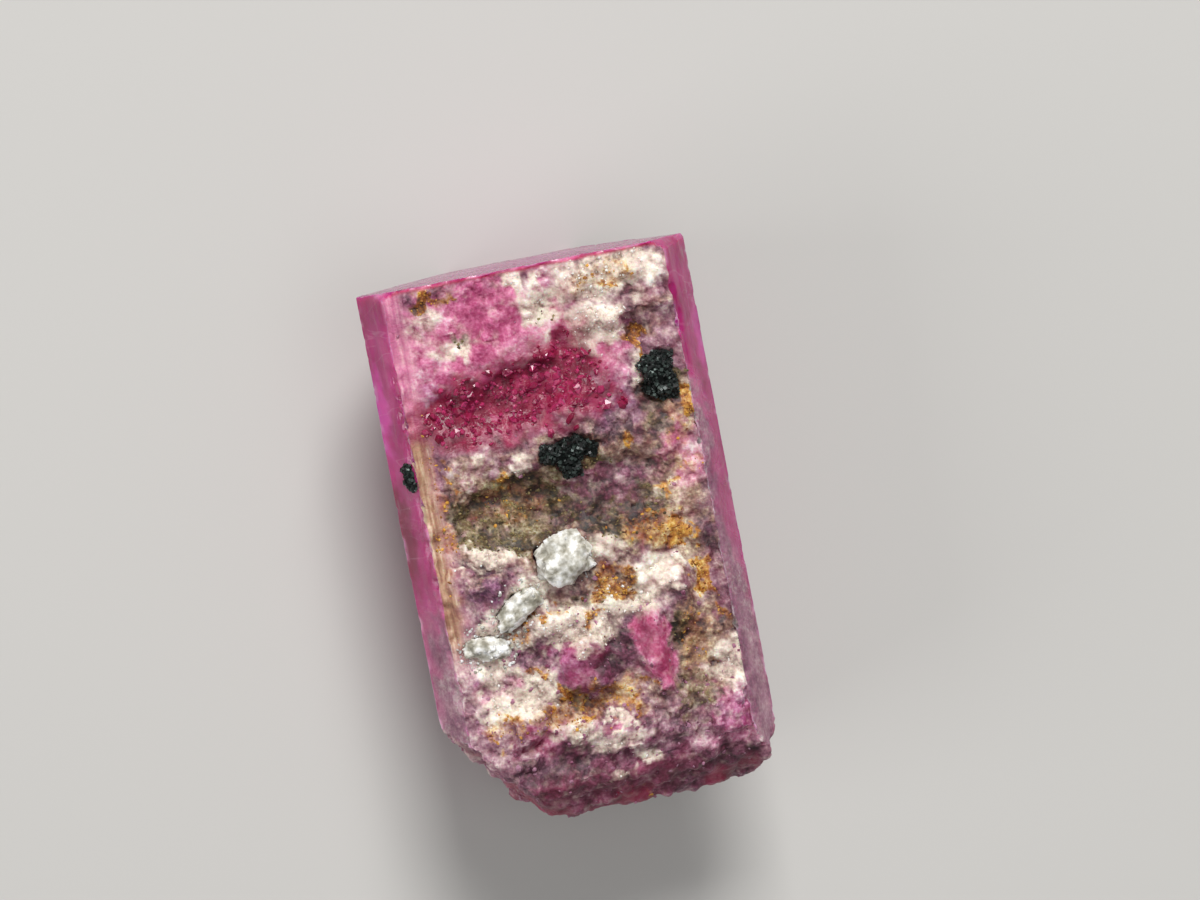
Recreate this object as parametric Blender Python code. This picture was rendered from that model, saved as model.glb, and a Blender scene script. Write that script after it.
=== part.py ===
"""Raw red beryl crystal: one six-sided prism, broken off at its lower end, with rock and dark grains set in its face.

It lies on its narrow back prism face. The crystal's length runs along Y, its flat top end points to +Y, and the
rough broad front face looks up along +Z. Metres throughout; the origin is under the middle of the crystal, on the
plane that it rests on.
"""

import math

import bmesh
import bpy
from mathutils import Matrix, Vector, noise

MM = 0.001

# Driving dimensions of the prism
CRYSTAL_LENGTH = 10.65 * MM
FRONT_WIDTH = 5.45 * MM
LEFT_SIDE_WIDTH = 0.95 * MM
RIGHT_SIDE_WIDTH = 1.05 * MM
THICKNESS = 4.2 * MM
PRISM_TURN = math.radians(60)

TOP_Y = 5.4 * MM
BOTTOM_Y = TOP_Y - CRYSTAL_LENGTH

# The spacing of the facets that carry the relief, and the angle under which neighbours count as one flat face
FACET_PITCH = 0.25 * MM
FLAT_WITHIN = math.radians(1.5)
WELD = 0.025 * MM
CURVE_WELD = 0.001 * MM

# Side growths: how deep they are sunk in the front, how much their sides spread, how far their ends are cut back,
# and how steeply the two ends slope
GROWTH_SUNK = 0.5 * MM
GROWTH_SPREAD = 0.15 * MM
GROWTH_END_CUT = 0.06 * MM
GROWTH_FREE_SLOPE = 0.55
GROWTH_NEAR_SLOPE = 0.45

# Relief of the front in mm: height and spacing (cells in a mm) of the broad lumps and of the crust's grains
LUMP_HEIGHT = 0.10
LUMPS_IN_A_MM = 1.1
GRAIN_HEIGHT = 0.13
GRAINS_IN_A_MM = 1.9
FRONT_SETBACK = 0.08
HOLLOW_RIM_WAVE = 0.18
LEDGE_WAVE = 0.14
LEDGE_FADE = (0.4, 1.6)

# Relief of the broken end in mm: height of the chips and of the fine lumps
CHIP_HEIGHT = 0.16
CHIPS_IN_A_MM = 1.5
FINE_HEIGHT = 0.07
FINE_IN_A_MM = 3.0

# Where the relief begins and is full: how far a face looks up or down the crystal, and heights and lengths in mm
FRONT_FACING = (0.70, 0.95)
FRONT_LEVEL = (3.55, 3.95)
BREAK_FACING = (0.30, 0.62)
BREAK_LEVEL = (0.0, 0.5)
TOP_END = (5.05, 5.3)

# How lumpy the rock is, how far the cubes sit below the face, and how each next cube turns in radians
ROCK_LUMPS = 0.30
CUBE_SUNK = 0.04 * MM
FIRST_CUBE_TURN = (0.5, 0.4)
NEXT_CUBE_TURN = (0.9, 0.6)

# Free space round a grain that sits in its pocket
POCKET_GAP = 0.03 * MM

BERYL_PINK = (0.62, 0.12, 0.27, 1.0)
ROCK_WHITE = (0.72, 0.68, 0.62, 1.0)
BIXBYITE_BLACK = (0.022, 0.026, 0.026, 1.0)

# Planes that the crystal ends on, each as a point in mm and the way that it faces. The first four make the broken
# lower end, and the others are small growth faces between the flat top and the prism.
BREAK_PLANES = {
    "left_break": ((-3.05, -3.15, 4.2), (-0.74, -0.66, 0.12)),
    "right_break": ((3.25, -4.15, 3.4), (0.86, -0.50, 0.0)),
    "front_break": ((0.3, -4.45, 4.2), (0.06, -0.72, 0.69)),
    "back_break": ((0.2, -4.75, 0.0), (-0.1, -0.86, -0.5)),
}
GROWTH_PLANES = {
    "right_corner_face": ((2.46, 5.4, 4.2), (0.60, 0.66, 0.45)),
    "left_corner_nick": ((-2.45, 5.4, 4.2), (-0.35, 0.60, 0.72)),
}

# Small prisms that grew side by side with the crystal and stand a little proud of its front face:
# middle x, middle y, width, length and rise, in mm, and the lean of its free end in degrees
SIDE_GROWTHS = {
    "top_right_slab": (1.70, 4.62, 1.90, 1.05, 0.07, 4),
    "left_step": (-1.86, -0.62, 0.85, 0.72, 0.16, -4),
    "right_step": (1.50, -1.28, 0.95, 0.95, 0.16, -5),
    "pink_lath": (1.12, -2.32, 0.52, 1.66, 0.26, 14),
    "purple_block": (-0.30, -2.35, 0.90, 0.95, 0.20, -7),
    "left_foot_block": (-1.52, -3.32, 0.95, 0.62, 0.22, 9),
    "right_foot_block": (2.28, -3.72, 0.80, 0.95, 0.14, -8),
    "foot_block": (0.35, -3.78, 1.10, 0.60, 0.12, 6),
}

# Hollows in the front face: middle x, middle y, half width, half height, depth in mm, and turn in degrees
HOLLOWS = {
    "gem_window": (-0.55, 3.00, 1.75, 0.66, 0.32, 8),
    "gem_window_end": (-2.05, 2.95, 0.50, 0.48, 0.24, 0),
    "gem_window_lobe": (0.42, 3.62, 0.42, 0.48, 0.26, 0),
    "long_hollow": (-0.85, 0.80, 1.75, 0.85, 0.38, -3),
    "right_hollow": (1.15, 0.90, 1.10, 0.80, 0.24, 10),
    "orange_pit": (1.92, 3.66, 0.20, 0.40, 0.30, 8),
    "green_pit": (-1.57, 4.10, 0.40, 0.24, 0.20, 6),
    "white_pit": (0.20, 4.55, 0.30, 0.36, 0.18, 0),
    "fold_hollow": (-0.40, -3.15, 1.10, 0.34, 0.26, 4),
    "small_hollow": (-1.00, -1.95, 0.75, 0.26, 0.18, 12),
    "right_groove": (2.10, -0.95, 0.22, 1.20, 0.20, 6),
    "left_groove": (-2.42, 1.30, 0.18, 2.20, 0.12, 3),
    "foot_hollow": (0.75, -4.45, 0.85, 0.32, 0.20, -6),
}

# Steps across the front face, where the part below a wavy line stands higher: y of the line in mm at the middle,
# its slope, its rise in mm, how wide the riser is, and the x where it starts and ends
LEDGES = {
    "long_ledge": (0.10, 0.05, 0.20, 0.22, -2.6, 1.4),
    "bright_ledge": (-1.35, -0.10, 0.16, 0.20, -1.0, 1.7),
    "lower_ledge": (-3.05, 0.03, 0.14, 0.20, -2.4, 1.7),
}

# Rock that the crystal grew against, still held in hollows: middle x, y in mm, half sizes in mm, turn in degrees
ROCK_PATCHES = {
    "rock_patch_middle": (-0.30, -0.22, 0.56, 0.46, 0.34, 8),
    "rock_patch_left": (-1.36, -1.02, 0.60, 0.26, 0.26, 32),
    "rock_patch_lower": (-2.08, -1.66, 0.42, 0.24, 0.22, -12),
}

# Clusters of bixbyite cubes: middle x, y in mm, and for each cube its offset and edge in mm
BIXBYITE_CLUSTERS = {
    "bixbyite_cluster_right": (
        (2.16, 2.86),
        ((0.0, 0.0, 0.42), (0.10, 0.26, 0.32), (-0.20, 0.22, 0.26), (0.12, -0.26, 0.34), (-0.16, -0.20, 0.28)),
    ),
    "bixbyite_cluster_middle": (
        (0.10, 1.70),
        ((0.0, 0.0, 0.42), (-0.28, 0.06, 0.30), (0.26, 0.12, 0.30), (0.08, -0.24, 0.32), (0.48, 0.04, 0.24)),
    ),
    "bixbyite_cluster_left": (
        (-2.89, 1.86),
        ((0.0, 0.12, 0.18), (0.01, -0.04, 0.18), (0.03, -0.19, 0.15)),
    ),
}


def clear_scene():
    for obj in list(bpy.data.objects):
        bpy.data.objects.remove(obj, do_unlink=True)


def new_collection(name):
    collection = bpy.data.collections.new(name)
    bpy.context.scene.collection.children.link(collection)
    return collection


def material(name, colour, roughness, metallic=0.0):
    made = bpy.data.materials.new(name)
    made.use_nodes = True
    shader = made.node_tree.nodes["Principled BSDF"]
    shader.inputs["Base Color"].default_value = colour
    shader.inputs["Roughness"].default_value = roughness
    shader.inputs["Metallic"].default_value = metallic
    return made


def section_corners():
    """The six corners (x, z) of the cross-section, from the front left corner clockwise as seen from the lower end.

    Every corner of a beryl prism turns by 60 degrees, so the four widths above fix the other sides.
    """
    slant = THICKNESS / math.sin(PRISM_TURN)
    back_right = slant - RIGHT_SIDE_WIDTH
    back_left = slant - LEFT_SIDE_WIDTH
    back = FRONT_WIDTH + RIGHT_SIDE_WIDTH - back_left
    widths = (FRONT_WIDTH, RIGHT_SIDE_WIDTH, back_right, back, back_left, LEFT_SIDE_WIDTH)
    corners = []
    place = Vector((-FRONT_WIDTH / 2, THICKNESS))
    for side, width in enumerate(widths):
        corners.append(place.copy())
        heading = -side * PRISM_TURN
        place += Vector((math.cos(heading), math.sin(heading))) * width
    shift = (min(c.x for c in corners) + max(c.x for c in corners)) / 2
    return [(c.x - shift, c.y) for c in corners]


def mesh_object(name, curve_object, collection):
    """The curve's evaluated shape as a mesh object in world space. The curve is removed."""
    bpy.context.view_layer.update()
    graph = bpy.context.evaluated_depsgraph_get()
    mesh = bpy.data.meshes.new_from_object(curve_object.evaluated_get(graph))
    mesh.transform(curve_object.matrix_world)
    bpy.data.objects.remove(curve_object, do_unlink=True)
    work = bmesh.new()
    work.from_mesh(mesh)
    bmesh.ops.remove_doubles(work, verts=work.verts, dist=CURVE_WELD)
    bmesh.ops.recalc_face_normals(work, faces=work.faces)
    work.to_mesh(mesh)
    work.free()
    made = bpy.data.objects.new(name, mesh)
    collection.objects.link(made)
    return made


def prism(name, corners, y_low, y_high, collection):
    """A straight prism along Y with the outline given as (x, z) corners."""
    curve = bpy.data.curves.new(name, "CURVE")
    curve.dimensions = "2D"
    curve.fill_mode = "BOTH"
    curve.extrude = (y_high - y_low) / 2
    spline = curve.splines.new("POLY")
    spline.points.add(len(corners) - 1)
    for point, (x, z) in zip(spline.points, corners):
        point.co = (x, z, 0, 1)
    spline.use_cyclic_u = True
    outline = bpy.data.objects.new(name + "_outline", curve)
    collection.objects.link(outline)
    outline.rotation_euler = (math.radians(90), 0, 0)
    outline.location = (0, (y_low + y_high) / 2, 0)
    return mesh_object(name, outline, collection)


def cut_by_plane(obj, point, facing):
    """Takes off what lies beyond the plane and closes the cut with one flat face."""
    work = bmesh.new()
    work.from_mesh(obj.data)
    geometry = work.verts[:] + work.edges[:] + work.faces[:]
    cut = bmesh.ops.bisect_plane(
        work, geom=geometry, plane_co=point, plane_no=Vector(facing).normalized(), clear_outer=True
    )
    edges = [item for item in cut["geom_cut"] if isinstance(item, bmesh.types.BMEdge)]
    bmesh.ops.holes_fill(work, edges=edges)
    bmesh.ops.recalc_face_normals(work, faces=work.faces)
    work.to_mesh(obj.data)
    work.free()


def join_solids(obj, others, operation):
    """Applies one Boolean for each of the others to obj, and removes them."""
    for other in others:
        step = obj.modifiers.new(other.name, "BOOLEAN")
        step.operation = operation
        step.object = other
        bpy.context.view_layer.update()
        graph = bpy.context.evaluated_depsgraph_get()
        joined = bpy.data.meshes.new_from_object(obj.evaluated_get(graph))
        obj.modifiers.clear()
        obj.data = joined
        bpy.data.objects.remove(other, do_unlink=True)


def side_growth(name, x, y, width, length, rise, lean, collection):
    """A small prism sunk in the front face, with a slanted shoulder on each side and a leaning free end."""
    height = rise * MM
    half = width * MM / 2
    shoulder = height / math.tan(PRISM_TURN)
    low = THICKNESS - GROWTH_SUNK
    top = THICKNESS + height
    corners = [
        (x * MM - half + shoulder, top),
        (x * MM + half - shoulder, top),
        (x * MM + half + GROWTH_SPREAD, low),
        (x * MM - half - GROWTH_SPREAD, low),
    ]
    made = prism(name, corners, (y - length / 2) * MM, (y + length / 2) * MM, collection)
    tilt = math.radians(lean)
    end = Vector((x * MM, (y + length / 2) * MM - GROWTH_END_CUT, top))
    cut_by_plane(made, end, (math.sin(tilt), math.cos(tilt), GROWTH_FREE_SLOPE))
    start = Vector((x * MM, (y - length / 2) * MM + GROWTH_END_CUT, top))
    cut_by_plane(made, start, (math.sin(tilt * 2), -math.cos(tilt * 2), GROWTH_NEAR_SLOPE))
    return made


def score(obj, pitch):
    """Cuts every face along a lattice of planes, so that the relief has corners to move."""
    work = bmesh.new()
    work.from_mesh(obj.data)
    low = [min(v.co[axis] for v in work.verts) for axis in range(3)]
    high = [max(v.co[axis] for v in work.verts) for axis in range(3)]
    for axis in range(3):
        normal = Vector([float(axis == a) for a in range(3)])
        count = int((high[axis] - low[axis]) / pitch)
        spacing = (high[axis] - low[axis]) / count
        for step in range(1, count):
            point = normal * (low[axis] + spacing * step)
            bmesh.ops.bisect_plane(
                work, geom=work.verts[:] + work.edges[:] + work.faces[:], plane_co=point, plane_no=normal
            )
    bmesh.ops.remove_doubles(work, verts=work.verts, dist=WELD)
    bmesh.ops.dissolve_degenerate(work, edges=work.edges, dist=WELD)
    work.to_mesh(obj.data)
    work.free()


def smooth(low, high, value):
    """0 below low, 1 above high, and an even bend between."""
    t = min(1.0, max(0.0, (value - low) / (high - low)))
    return t * t * (3 - 2 * t)


def hollow_depth(x, y, hollow):
    """How deep a bowl with a broken rim is at a point, in mm."""
    middle_x, middle_y, half_x, half_y, depth, turn = hollow
    angle = math.radians(turn)
    dx, dy = x - middle_x, y - middle_y
    along = (dx * math.cos(angle) + dy * math.sin(angle)) / half_x
    across = (-dx * math.sin(angle) + dy * math.cos(angle)) / half_y
    rim = HOLLOW_RIM_WAVE * noise.noise(Vector((x * 2.1, y * 2.1, middle_x)))
    return depth * (1 - smooth(0.45, 1.0, math.hypot(along, across) + rim))


def ledge_rise(x, y, ledge):
    """How far a step lifts the face below its wavy line, in mm. The lift dies away further down."""
    line_y, slope, rise, riser, start_x, end_x = ledge
    wave = LEDGE_WAVE * noise.noise(Vector((x * 1.3, line_y, 2.0)))
    below = line_y + slope * x + wave - y
    reach = smooth(start_x - 0.3, start_x + 0.2, x) * (1 - smooth(end_x - 0.2, end_x + 0.3, x))
    return rise * reach * smooth(-riser / 2, riser / 2, below) * (1 - smooth(*LEDGE_FADE, below))


def front_relief(x, y):
    """Height of the front face over its flat plane at a point, in mm."""
    dip = max(hollow_depth(x, y, hollow) for hollow in HOLLOWS.values())
    lift = sum(ledge_rise(x, y, ledge) for ledge in LEDGES.values())
    lumps = LUMP_HEIGHT * noise.fractal(Vector((x * LUMPS_IN_A_MM, y * LUMPS_IN_A_MM, 5.0)), 1.0, 2.0, 3)
    cells, _ = noise.voronoi(Vector((x * GRAINS_IN_A_MM, y * GRAINS_IN_A_MM, 3.0)))
    crust = GRAIN_HEIGHT * (0.45 - cells[0])
    return lift - dip + lumps + crust - FRONT_SETBACK


def break_relief(place):
    """How far the rough broken end stands out from its planes, in mm."""
    cells, _ = noise.voronoi(place * CHIPS_IN_A_MM / MM)
    chips = CHIP_HEIGHT * (cells[0] - 0.35)
    return chips + FINE_HEIGHT * noise.noise(place * FINE_IN_A_MM / MM)


def sculpt(obj):
    """Moves the corners of the scored faces: hollows and ledges on the front, chips on the broken end."""
    work = bmesh.new()
    work.from_mesh(obj.data)
    work.normal_update()
    moves = []
    for vert in work.verts:
        x, y, z = vert.co / MM
        upward = smooth(*FRONT_FACING, vert.normal.z) * smooth(*FRONT_LEVEL, z)
        downward = smooth(*BREAK_FACING, -vert.normal.y) * smooth(*BREAK_LEVEL, z)
        below_top = 1 - smooth(*TOP_END, y)
        move = Vector((0, 0, front_relief(x, y) * upward * below_top * (1 - downward)))
        move += vert.normal * break_relief(vert.co) * downward
        moves.append((vert, move * MM))
    for vert, move in moves:
        vert.co += move
    bmesh.ops.dissolve_limit(
        work, angle_limit=FLAT_WITHIN, verts=work.verts, edges=work.edges, delimit={"NORMAL"}
    )
    bmesh.ops.triangulate(work, faces=work.faces)
    work.to_mesh(obj.data)
    work.free()


def face_height(x, y):
    """Height of the sculpted front face in metres, for what is set in it."""
    return THICKNESS + front_relief(x, y) * MM


def flat_height(x):
    """Height of the unsculpted front in metres at x in mm, or of the side face beyond the front's edge."""
    corners = section_corners()
    beyond = max(corners[0][0] - x * MM, x * MM - corners[1][0], 0)
    return THICKNESS - beyond * math.tan(PRISM_TURN)


def rock_patch(name, x, y, half_x, half_y, half_z, turn, grow, collection):
    """A lump of white rock with a grainy outside, grow metres larger all round than its sizes."""
    bpy.ops.mesh.primitive_ico_sphere_add(subdivisions=3, radius=1.0)
    made = bpy.context.object
    made.name = name
    for each in list(made.users_collection):
        each.objects.unlink(made)
    collection.objects.link(made)
    for vert in made.data.vertices:
        grain = 1 + ROCK_LUMPS * noise.fractal(vert.co * 1.6 + Vector((x, y, 0)), 0.9, 2.0, 3)
        halves = Vector((half_x, half_y, half_z)) * grain * MM + Vector((grow, grow, grow))
        vert.co = Matrix.Diagonal(halves) @ vert.co
    height = face_height(x, y)
    place = Matrix.Translation((x * MM, y * MM, height)) @ Matrix.Rotation(math.radians(turn), 4, "Z")
    made.data.transform(place)
    return made


def bixbyite_cluster(name, middle, cubes, grow, collection):
    """Small black cubes grown through each other, each turned its own way and grow metres larger all round."""
    parts = []
    for number, (dx, dy, edge) in enumerate(cubes):
        x, y = middle[0] + dx, middle[1] + dy
        bpy.ops.mesh.primitive_cube_add(size=edge * MM + 2 * grow)
        cube = bpy.context.object
        cube.name = f"{name}_{number}"
        for each in list(cube.users_collection):
            each.objects.unlink(cube)
        collection.objects.link(cube)
        height = min(face_height(x, y), flat_height(x)) - CUBE_SUNK
        turn_z, turn_x = [first + number * more for first, more in zip(FIRST_CUBE_TURN, NEXT_CUBE_TURN)]
        turned = Matrix.Rotation(turn_z, 4, "Z") @ Matrix.Rotation(turn_x, 4, "X")
        cube.data.transform(Matrix.Translation((x * MM, y * MM, height)) @ turned)
        parts.append(cube)
    first = parts[0]
    join_solids(first, parts[1:], "UNION")
    first.name = name
    return first


def centre_on_origin(objects):
    """Moves all the pieces together, so that the origin is under the middle of the whole."""
    corners = [vert.co for obj in objects for vert in obj.data.vertices]
    middle = [(min(c[axis] for c in corners) + max(c[axis] for c in corners)) / 2 for axis in range(2)]
    floor = min(c.z for c in corners)
    for obj in objects:
        obj.data.transform(Matrix.Translation((-middle[0], -middle[1], -floor)))


def build():
    clear_scene()
    parts = new_collection("Red beryl crystal")
    cutters = new_collection("Cutters")
    crystal = prism("red_beryl_crystal", section_corners(), BOTTOM_Y, TOP_Y, parts)
    for point, facing in (*BREAK_PLANES.values(), *GROWTH_PLANES.values()):
        cut_by_plane(crystal, Vector(point) * MM, facing)
    growths = [side_growth(name, *sizes, parts) for name, sizes in SIDE_GROWTHS.items()]
    join_solids(crystal, growths, "UNION")
    score(crystal, FACET_PITCH)
    sculpt(crystal)

    rocks = [rock_patch(name, *sizes, 0, parts) for name, sizes in ROCK_PATCHES.items()]
    clusters = [bixbyite_cluster(name, *sizes, 0, parts) for name, sizes in BIXBYITE_CLUSTERS.items()]
    pockets = [rock_patch(name + "_pocket", *sizes, POCKET_GAP, cutters) for name, sizes in ROCK_PATCHES.items()]
    pockets += [
        bixbyite_cluster(name + "_pocket", *sizes, POCKET_GAP, cutters) for name, sizes in BIXBYITE_CLUSTERS.items()
    ]
    join_solids(crystal, pockets, "DIFFERENCE")
    centre_on_origin([crystal, *rocks, *clusters])

    crystal.data.materials.clear()
    crystal.data.materials.append(material("red beryl", BERYL_PINK, 0.35))
    white = material("white rock", ROCK_WHITE, 0.8)
    for rock in rocks:
        rock.data.materials.clear()
        rock.data.materials.append(white)
        rock.data.shade_smooth()
    black = material("bixbyite", BIXBYITE_BLACK, 0.35, 0.6)
    for cluster in clusters:
        cluster.data.materials.clear()
        cluster.data.materials.append(black)


build()
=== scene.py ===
import math
import random

import bpy
import numpy as np
from mathutils import Euler, Matrix, Vector, noise
from mathutils.bvhtree import BVHTree


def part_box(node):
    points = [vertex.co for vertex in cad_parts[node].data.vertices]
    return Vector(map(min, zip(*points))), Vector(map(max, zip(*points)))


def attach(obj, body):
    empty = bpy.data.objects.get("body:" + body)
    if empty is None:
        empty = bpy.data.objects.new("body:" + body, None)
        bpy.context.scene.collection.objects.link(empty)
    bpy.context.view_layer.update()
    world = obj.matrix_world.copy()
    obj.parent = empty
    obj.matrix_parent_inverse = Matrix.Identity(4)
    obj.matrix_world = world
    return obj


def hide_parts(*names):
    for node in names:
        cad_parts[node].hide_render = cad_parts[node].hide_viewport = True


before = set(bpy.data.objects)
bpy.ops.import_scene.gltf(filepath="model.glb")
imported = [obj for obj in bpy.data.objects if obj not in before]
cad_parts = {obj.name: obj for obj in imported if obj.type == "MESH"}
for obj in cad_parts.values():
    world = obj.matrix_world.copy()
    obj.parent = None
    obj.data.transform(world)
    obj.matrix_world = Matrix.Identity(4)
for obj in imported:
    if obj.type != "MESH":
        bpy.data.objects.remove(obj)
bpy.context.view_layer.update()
bpy.ops.object.select_all(action="DESELECT")

# Camera and floor
# The crystal lies on its narrow back face, so the camera looks down on it, as the photograph looks at its front:
# a little from the left and from the flat top end, with the crystal leaning 11 degrees to the left in the picture.
MM = 0.001
LEAN = math.radians(11)
FROM_LEFT = math.radians(5)
FROM_TOP_END = math.radians(5)
CAMERA_DISTANCE = 80 * MM
VIEW_WIDTH = 23.45 * MM
SENSOR = 36.0
picture_middle = Vector((0.91, 1.50, 2.6)) * MM
toward_camera = Vector((-math.sin(FROM_LEFT), math.sin(FROM_TOP_END), 1)).normalized()
picture_up = Vector((math.sin(LEAN), math.cos(LEAN), 0))
picture_right = picture_up.cross(toward_camera).normalized()
picture_up = toward_camera.cross(picture_right)
bpy.ops.object.camera_add(location=picture_middle + toward_camera * CAMERA_DISTANCE)
camera = bpy.context.object
camera.rotation_euler = Matrix((picture_right, picture_up, toward_camera)).transposed().to_euler()
camera.data.sensor_width = SENSOR
camera.data.lens = SENSOR * CAMERA_DISTANCE / VIEW_WIDTH
camera.data.clip_start = 1 * MM
camera.data.clip_end = 20
bpy.context.scene.camera = camera


def linear(code):
    """An sRGB hex colour as linear RGBA."""
    shares = [int(code[i:i + 2], 16) / 255 for i in (1, 3, 5)]
    return (*[s / 12.92 if s <= 0.04045 else ((s + 0.055) / 1.055) ** 2.4 for s in shares], 1.0)


def node(material, kind, settings=None, links=None):
    """Adds a node: settings are its properties and unlinked sockets, links are sockets fed by other sockets."""
    made = material.node_tree.nodes.new(kind)
    for name, value in (settings or {}).items():
        if isinstance(name, str) and hasattr(made, name):
            setattr(made, name, value)
        else:
            made.inputs[name].default_value = value
    for name, source in (links or {}).items():
        material.node_tree.links.new(source, made.inputs[name])
    return made


def new_material(name):
    """A material with its Principled shader."""
    material = bpy.data.materials.new(name)
    material.use_nodes = True
    return material, material.node_tree.nodes["Principled BSDF"]


bpy.ops.mesh.primitive_plane_add(size=6)
floor = bpy.context.object
floor.name = "floor"
card, shader = new_material("matt pale card")
shader.inputs["Base Color"].default_value = linear("#BEBCB8")
shader.inputs["Roughness"].default_value = 0.9
shader.inputs["Specular IOR Level"].default_value = 0.2
floor.data.materials.append(card)

# Light
# One large soft light stands beyond the flat top end, so that the ledges that face it are bright and the slopes
# beyond them dark. Two weak ones fill from above and from the lower left.
LIGHTS = {
    "key": ((45, 200, 190), 110, 0.88),
    "top_fill": ((60, -40, 320), 220, 0.20),
    "left_fill": ((-240, -20, 110), 160, 0.25),
}
for name, (place, size, power) in LIGHTS.items():
    spot = Vector(place) * MM
    bpy.ops.object.light_add(type="AREA", location=spot, rotation=spot.to_track_quat("Z", "Y").to_euler())
    lamp = bpy.context.object
    lamp.name = name
    lamp.data.size = size * MM
    lamp.data.energy = power
sky = bpy.data.worlds.new("studio")
sky.use_nodes = True
sky.node_tree.nodes["Background"].inputs["Color"].default_value = linear("#E4E6EA")
sky.node_tree.nodes["Background"].inputs["Strength"].default_value = 0.25
bpy.context.scene.world = sky
bpy.context.scene.view_settings.view_transform = "Standard"

# Red beryl crystal
# One hexagonal prism of beryl coloured by manganese. Its flat sides and flat top are natural growth faces, the
# lower end is broken, and the front is crusted where it grew against the rock.
LENGTH = 10.65 * MM
THICKNESS = 4.2 * MM
FRONT_WIDTH = 5.45 * MM
LEFT_SIDE = 0.95 * MM
RIGHT_SIDE = 1.05 * MM
crystal_low, crystal_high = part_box("red_beryl_crystal")
SHIFT_Y = crystal_high.y - 5.4 * MM
END_PLANES = (
    ((-3.05, -3.15, 4.2), (-0.74, -0.66, 0.12)),
    ((3.25, -4.15, 3.4), (0.86, -0.50, 0.0)),
    ((0.3, -4.45, 4.2), (0.06, -0.72, 0.69)),
    ((0.2, -4.75, 0.0), (-0.1, -0.86, -0.5)),
    ((2.46, 5.4, 4.2), (0.60, 0.66, 0.45)),
    ((-2.45, 5.4, 4.2), (-0.35, 0.60, 0.72)),
)
FACE_PITCH = 0.05 * MM
DEPTH_PITCH = 0.09 * MM
FINE = 0.0001 * MM
WELD = 0.004 * MM

slant = THICKNESS / math.sin(math.radians(60))
back_right = slant - RIGHT_SIDE
back_left = slant - LEFT_SIDE
back = FRONT_WIDTH + RIGHT_SIDE - back_left
corners = []
place = Vector((-FRONT_WIDTH / 2, THICKNESS))
for side, width in enumerate((FRONT_WIDTH, RIGHT_SIDE, back_right, back, back_left, LEFT_SIDE)):
    corners.append(place.copy())
    place += Vector((math.cos(math.radians(-60 * side)), math.sin(math.radians(-60 * side)))) * width
shift_x = (min(c.x for c in corners) + max(c.x for c in corners)) / 2

bpy.ops.mesh.primitive_cylinder_add(vertices=6, radius=1, depth=LENGTH, location=(0, crystal_high.y - LENGTH / 2, 0),
                                    rotation=(math.radians(90), 0, 0))
crystal = bpy.context.object
crystal.name = "red_beryl"
bpy.ops.object.transform_apply(location=True, rotation=True, scale=True)
turns = {}
for vert in crystal.data.vertices:
    turns.setdefault(round(math.degrees(math.atan2(vert.co.z, vert.co.x))) % 360, []).append(vert)
first_turn = min(turns, key=lambda turn: (turn - 120) % 360)
for turn, ring in turns.items():
    corner = corners[round(((first_turn - turn) % 360) / 60)]
    for vert in ring:
        vert.co.x, vert.co.z = corner.x - shift_x, corner.y
bpy.ops.object.mode_set(mode="EDIT")
for point, facing in END_PLANES:
    bpy.ops.mesh.select_all(action="SELECT")
    bpy.ops.mesh.bisect(plane_co=Vector(point) * MM + Vector((0, SHIFT_Y, 0)), plane_no=Vector(facing).normalized(),
                        use_fill=True, clear_outer=True, threshold=FINE)
lattice = ((1, -5.4, 5.4, FACE_PITCH), (0, -3.225, 3.225, FACE_PITCH), (2, 0, 4.2, DEPTH_PITCH))
for axis, low, high, pitch in lattice:
    count = round((high - low) * MM / pitch)
    for step in range(1, count):
        cut = Vector((0, SHIFT_Y, 0))
        cut[axis] += (low + (high - low) * step / count) * MM
        bpy.ops.mesh.select_all(action="SELECT")
        bpy.ops.mesh.bisect(plane_co=cut, plane_no=[float(axis == a) for a in range(3)], threshold=FINE)
bpy.ops.mesh.select_all(action="SELECT")
bpy.ops.mesh.remove_doubles(threshold=WELD)
bpy.ops.mesh.normals_make_consistent(inside=False)
bpy.ops.object.mode_set(mode="OBJECT")


def coordinates(mesh):
    flat = np.empty(len(mesh.vertices) * 3)
    mesh.vertices.foreach_get("co", flat)
    return flat.reshape(-1, 3)


def normals(mesh):
    flat = np.empty(len(mesh.vertices) * 3, np.float32)
    mesh.vertex_normals.foreach_get("vector", flat)
    return flat.reshape(-1, 3).astype(float)


def smooth(low, high, values):
    """0 below low, 1 above high, and an even bend between."""
    share = np.clip((values - low) / (high - low), 0, 1)
    return share * share * (3 - 2 * share)


def grain(places, size, seed, octaves=1):
    """Noise between about -1 and 1 at each place in mm, with lumps of the given size in mm."""
    offset = Vector((seed * 17.3, seed * 5.1, seed * 9.7))
    if octaves == 1:
        return np.array([noise.noise(Vector(p) / size + offset) for p in places])
    return np.array([noise.fractal(Vector(p) / size + offset, 0.9, 2.0, octaves) for p in places])


def pebbles(places, size, seed):
    """Rounded cells of the given size in mm: how far each place is from its cell's middle, from 0 to about 1, and a
    number between 0 and 1 that is the cell's own."""
    offset = Vector((seed * 3.3, seed * 7.9, seed * 1.7))
    found = [noise.voronoi(Vector(p) / size + offset) for p in places]
    middles = np.array([points[0] for _, points in found])
    own = np.modf(np.abs(np.sin(middles @ np.array([12.99, 78.23, 37.72])) * 4375.85))[0]
    return np.array([distances[0] for distances, _ in found]), own


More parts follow.
